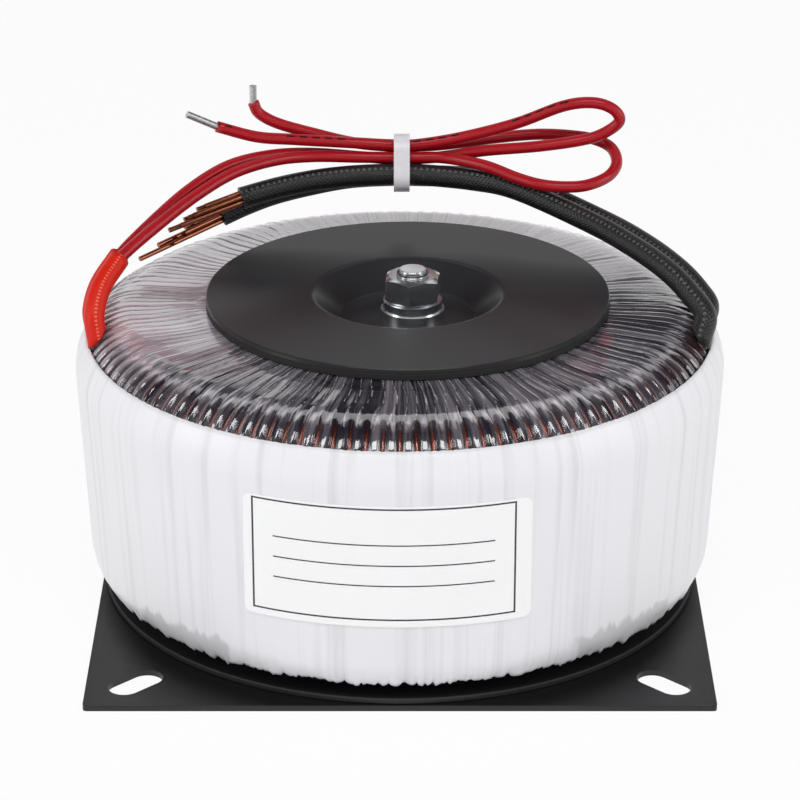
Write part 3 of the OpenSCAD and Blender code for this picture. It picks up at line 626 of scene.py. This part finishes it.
def ease(value, low, high):
    """0 below low, 1 above high, and a smooth rise between them."""
    t = min(max((value - low) / (high - low), 0), 1)
    return t * t * (3 - 2 * t)


def round_noise(angle, fineness, layer):
    """Noise that closes on itself round the coil."""
    return noise.noise(Vector((math.cos(angle) * fineness, math.sin(angle) * fineness, layer)))


# Secondary winding: round wire, one closed turn copied round the coil
WIRE_IN, WIRE_R, WIRE_SIDES = 2.05, 0.6, 6
wire = bmesh.new()
path = (arc(LIP_TOP_C, LIP_R - WIRE_IN, 180, 90, 4)
        + arc(SHOULDER_C, SHOULDER_R - WIRE_IN, 90, SIDE_ANGLE, 9)
        + arc(HEEL_C, HEEL_R - WIRE_IN, SIDE_ANGLE, -90, 5)
        + arc(LIP_LOW_C, LIP_R - WIRE_IN, 270, 180, 4))
centres = [Vector((r, 0, z)) * MM for r, z in path]
rings = []
for i, centre in enumerate(centres):
    way = (centres[(i + 1) % len(centres)] - centres[i - 1]).normalized()
    side = Vector((0, 1, 0))
    seat = Matrix((side, way.cross(side), way)).transposed().to_4x4()
    seat.translation = centre
    before = set(wire.edges)
    bmesh.ops.create_circle(wire, radius=WIRE_R * MM, segments=WIRE_SIDES, matrix=seat)
    rings.append([e for e in wire.edges if e not in before])
for one, other in zip(rings, rings[1:] + rings[:1]):
    bmesh.ops.bridge_loops(wire, edges=one + other)
bmesh.ops.recalc_face_normals(wire, faces=wire.faces)
bmesh.ops.spin(wire, geom=wire.verts[:] + wire.edges[:] + wire.faces[:], cent=(0, 0, 0),
               axis=(0, 0, 1), angle=TAU * (TURNS - 1) / TURNS, steps=TURNS - 1,
               use_duplicate=True)
settle(wire, "secondary_wires", enamelled, ["secondary_winding"])

# Film: the whole skin turned, then pleated. Lobes lie over the turns on the shoulder,
# and laps overlap like scales on the flat top
FILM_STEPS, LAPS = 2160, 144
section = (arc(LIP_TOP_C, LIP_R, 180, 90, 3)
           + [(r, COIL_TOP) for r in (50, 51.5, 53.5, 56, 59, 62.5)]
           + arc(SHOULDER_C, SHOULDER_R, 90, 20, 12)
           + arc(SHOULDER_C, SHOULDER_R, 12, SIDE_ANGLE, 1)
           + arc(HEEL_C, HEEL_R, SIDE_ANGLE, -90, 4)
           + arc(LIP_LOW_C, LIP_R, 270, 180, 3))
skin = turned_round(section, FILM_STEPS, True)
# For the film's material: how tight it lies on a turn, the place across a lap, and its
# paleness, random from lap to lap with painted reflection and painted glare
drape = skin.verts.layers.float_vector.new("drape")

# All in millimetres: the top slopes down by the dome from the washer to the knee, and the edge
# of each lap stands up from the next by a step. Between two turns of wire the film stays near
# the skin, and over a turn it hugs the wire. It never sinks by more than the slack
DOME, FILM_SLACK = 0.75, 1.35
DOME_FROM, DOME_TO = DISH_R - 6, DISH_R + 22
LAP_STEP, LAP_PLAY = 0.04, 0.3
BULGE, HUG, HUG_PLAY = 0.35, 0.45, 0.4
# Half the width of a hug, as a share of the way from one turn to the next
HUG_HALF, HUG_HALF_PLAY = 0.26, 0.14
# The film is plain under the washer and under the band
PLAIN_R, PLEATED_R, PLAIN_Z, PLEATED_Z = DISH_R - 1, DISH_R + 1.5, 58, 62
# Laps turn into lobes between these two places round the shoulder, in degrees
KNEE = (48, 80)
# Painted glare between two turns: where round the shoulder it lies, how far it wanders, and
# its half width, in degrees
DROP_FROM, DROP_PLAY, DROP_HALF = 58, 26, 9
# Painted reflection: the laps are paler round the back and the left, and darker at the front
PAINTED_REFLECTION_TOWARDS, PAINTED_REFLECTION_EDGE = math.radians(115), (-0.35, 0.25)

for vert in skin.verts:
    reach = math.hypot(vert.co.x, vert.co.y) / MM
    height = vert.co.z / MM
    if reach < PLAIN_R or height < PLAIN_Z:
        continue
    angle = math.atan2(vert.co.y, vert.co.x) / TAU % 1
    up = math.degrees(math.atan2(height - SHOULDER_C[1], reach - SHOULDER_C[0]))
    past_knee = reach > SHOULDER_C[0]
    flat = ease(up, *KNEE) if past_knee else 1
    pleated = ease(reach, PLAIN_R, PLEATED_R) * ease(height, PLAIN_Z, PLEATED_Z)
    wander = 0.008 * noise.noise(Vector((angle * 26, reach * 0.06, 3)))
    lap = (angle + wander) * LAPS
    lap_no, lap_at = math.floor(lap) % LAPS, lap % 1
    # The laps slope away from the washer's edge, each a little lower than the one before
    dome = DOME * ease(reach, DOME_FROM, DOME_TO)
    scale = dome + (LAP_STEP + LAP_PLAY * chance(lap_no, 1) ** 2) * (1 - lap_at)
    turn_no, turn_at = math.floor(angle * TURNS + 0.5), (angle * TURNS + 0.5) % 1 - 0.5
    hug = max(0, 1 - abs(turn_at) / (HUG_HALF + HUG_HALF_PLAY * chance(turn_no, 2)))
    # Where a lobe starts wanders from turn to turn
    flat = min(max(flat + 0.5 * (chance(turn_no, 6) - 0.5) * (1 - flat) * flat * 4, 0), 1)
    lobe = BULGE + (HUG + HUG_PLAY * chance(turn_no, 4)) * hug ** 0.6
    sunk = min(pleated * (flat * scale + (1 - flat) * lobe), FILM_SLACK)
    tilt = math.radians(up) if past_knee else math.pi / 2
    bearing = Vector((vert.co.x, vert.co.y, 0)).normalized()
    vert.co -= (bearing * math.cos(tilt) + Vector((0, 0, math.sin(tilt)))) * sunk * MM
    # Painted reflection: paler towards the back and the left
    painted_reflection = ease(math.cos(TAU * angle - PAINTED_REFLECTION_TOWARDS), *PAINTED_REFLECTION_EDGE)
    # Painted glare: a pale patch between two turns where the film bends over the shoulder
    drop_at = DROP_FROM + DROP_PLAY * chance(turn_no, 7)
    between = max(0, 1 - (1 - 2 * abs(turn_at)) * 1.7)
    drop = max(0, 1 - abs(up - drop_at) / DROP_HALF) * between
    vert[drape] = (hug * (1 - flat), lap_at if flat > 0.3 else 0.5,
                   0.55 * chance(lap_no, 5) + 0.6 * painted_reflection + 0.9 * drop)
settle(skin, "lapped_film", film, ["film_wrap"])

# White tape round the side: upright facets, a wavy top edge and a ragged foot
BAND_NEAR, BAND_FAR = 0.1, 0.5
# Heights between which the ragged foot ends and the wavy top edge starts
BAND_FOOT, BAND_CREST = (7, 12), (66, 69)
FOOT_WAVE, FOOT_TEETH, CREST_TEETH, FACET_STEP = 1.1, 0.9, 0.25, 0.02
line = (arc(HEEL_C, HEEL_R + BAND_NEAR, -38, SIDE_ANGLE, 8)
        + arc(SHOULDER_C, SHOULDER_R + BAND_NEAR, SIDE_ANGLE, 36, 8))
band = turned_round(line, 720, False)
for vert in band.verts:
    angle = math.atan2(vert.co.y, vert.co.x)
    reach, height = math.hypot(vert.co.x, vert.co.y), vert.co.z / MM
    foot = 1 - ease(height, *BAND_FOOT)
    crest = ease(height, *BAND_CREST)
    teeth = round_noise(angle, 120, 2)
    facet = math.floor(4 * round_noise(angle, 24, height * 0.01) + 0.5)
    grow = 1 + FACET_STEP * MM * facet * (1 - foot) * (1 - crest) / reach
    vert.co.x *= grow
    vert.co.y *= grow
    wave = FOOT_WAVE * round_noise(angle, 34, 1) + FOOT_TEETH * teeth
    vert.co.z += (foot * wave + crest * CREST_TEETH * teeth) * MM
piece = settle(band, "white_tape_band", white_tape, ["side_band"])
wall = piece.modifiers.new("wall", "SOLIDIFY")
wall.thickness = (BAND_FAR - BAND_NEAR) * MM
wall.offset = 1

# ---- Finishes of the CAD nodes -------------------------------------------------------

for material, names in (
        (plate_enamel, ["mounting_plate"]),
        (rubber, ["foot_pad", "top_pad"]),
        (powder_coat, ["clamping_washer"]),
        (zinc, ["plain_washer", "spring_washer", "hex_nut"]),
        (zinc_thread, ["clamping_bolt"]),
        (core_steel, ["core"]),
        (crepe, ["core_insulation"]),
        (enamelled, ["primary_winding"]),
        (winding_tape, ["winding_insulation"]),
        (paper, ["label"]),
        (tinned, ["tinned_end_a", "tinned_end_b"]),
        (bare_copper, ["copper_strands_a", "copper_strands_b"]),
        (nylon, ["cable_tie"])):
    for name in names:
        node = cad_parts[name]
        if not node.material_slots:
            node.data.materials.append(material)
        for slot in node.material_slots:
            slot.material = material

# ---- Floor and light -----------------------------------------------------------------

FLOOR_HALF, FLOOR_DROP, FLOOR_WHITE = 6, 0.1 * MM, 0.93

floor_mesh = bmesh.new()
bmesh.ops.create_grid(floor_mesh, x_segments=1, y_segments=1, size=FLOOR_HALF,
                      matrix=Matrix.Translation((0, 0, -FLOOR_DROP)))
floor_data = bpy.data.meshes.new("studio_floor")
floor_mesh.to_mesh(floor_data)
floor_mesh.free()
floor = bpy.data.objects.new("studio_floor", floor_data)
bpy.context.scene.collection.objects.link(floor)
# Studio sweep: white where the camera, gloss or film shows it, and it keeps shadows
sweep, tree, shader = finish("white_studio_sweep", "#f2f2f2", 0.9)
paths = add(tree, "ShaderNodeLightPath").outputs
seen = add(tree, "ShaderNodeMath", {
    0: paths["Is Camera Ray"], 1: paths["Is Glossy Ray"]}, operation="MAXIMUM").outputs[0]
seen = add(tree, "ShaderNodeMath", {
    0: seen, 1: paths["Is Transmission Ray"]}, operation="MAXIMUM").outputs[0]
share = add(tree, "ShaderNodeMath", {0: seen, 1: FLOOR_WHITE}, operation="MULTIPLY").outputs[0]
glow = add(tree, "ShaderNodeEmission", {"Color": linear("#ffffff"), "Strength": 1})
plain = add(tree, "ShaderNodeMixShader", {
    0: share, 1: shader.outputs[0], 2: glow.outputs[0]})
tree.links.new(plain.outputs[0], tree.nodes["Material Output"].inputs[0])
floor_data.materials.append(sweep)

# The studio is white round its walls and dark overhead. In a gloss the walls show a little
# below white
WALL_TOP, DARK_FROM, CEILING, WALL_IN_GLOSS = 0.4, 0.435, 0.05, 0.8

world = bpy.data.worlds.new("studio_world")
bpy.context.scene.world = world
world.use_nodes = True
tree = world.node_tree
paths = add(tree, "ShaderNodeLightPath").outputs
shown = add(tree, "ShaderNodeMath", {
    0: paths["Is Camera Ray"], 1: paths["Is Transmission Ray"]},
    operation="MAXIMUM").outputs[0]
aim = add(tree, "ShaderNodeSeparateXYZ", {
    0: add(tree, "ShaderNodeTexCoord").outputs["Generated"]}).outputs
ceiling = add(tree, "ShaderNodeMapRange", {
    "Value": aim[2], "From Min": WALL_TOP, "From Max": DARK_FROM, "To Min": 1,
    "To Max": CEILING}).outputs[0]
dimmed = add(tree, "ShaderNodeMapRange", {
    "Value": paths["Is Glossy Ray"], "To Min": 1, "To Max": WALL_IN_GLOSS}).outputs[0]
walls = add(tree, "ShaderNodeMath", {0: ceiling, 1: dimmed}, operation="MULTIPLY").outputs[0]
level = add(tree, "ShaderNodeMapRange", {
    "Value": shown, "To Min": walls, "To Max": 1}, clamp=False)
tree.links.new(level.outputs[0], tree.nodes["Background"].inputs["Strength"])
tree.nodes["Background"].inputs["Color"].default_value = linear("#ffffff")


def lamp(name, place_mm, aim_mm, size_mm, watts):
    """A rectangular softbox that faces a point."""
    data = bpy.data.lights.new(name, "AREA")
    data.shape = "RECTANGLE"
    data.size, data.size_y = (s * MM for s in size_mm)
    data.energy = watts
    light = bpy.data.objects.new(name, data)
    bpy.context.scene.collection.objects.link(light)
    light.location = Vector(place_mm) * MM
    way = Vector(aim_mm) * MM - light.location
    light.rotation_euler = way.to_track_quat("-Z", "Y").to_euler()


lamp("front_softbox", (0, -560, 960), (0, -40, 60), (950, 300), 5.2)
lamp("rear_strip", (0, 520, 860), (0, -20, 70), (1100, 330), 1)
lamp("left_softbox", (-1000, -350, 520), (0, 0, 40), (400, 700), 3.2)
lamp("right_softbox", (1000, -350, 520), (0, 0, 40), (400, 700), 2.8)
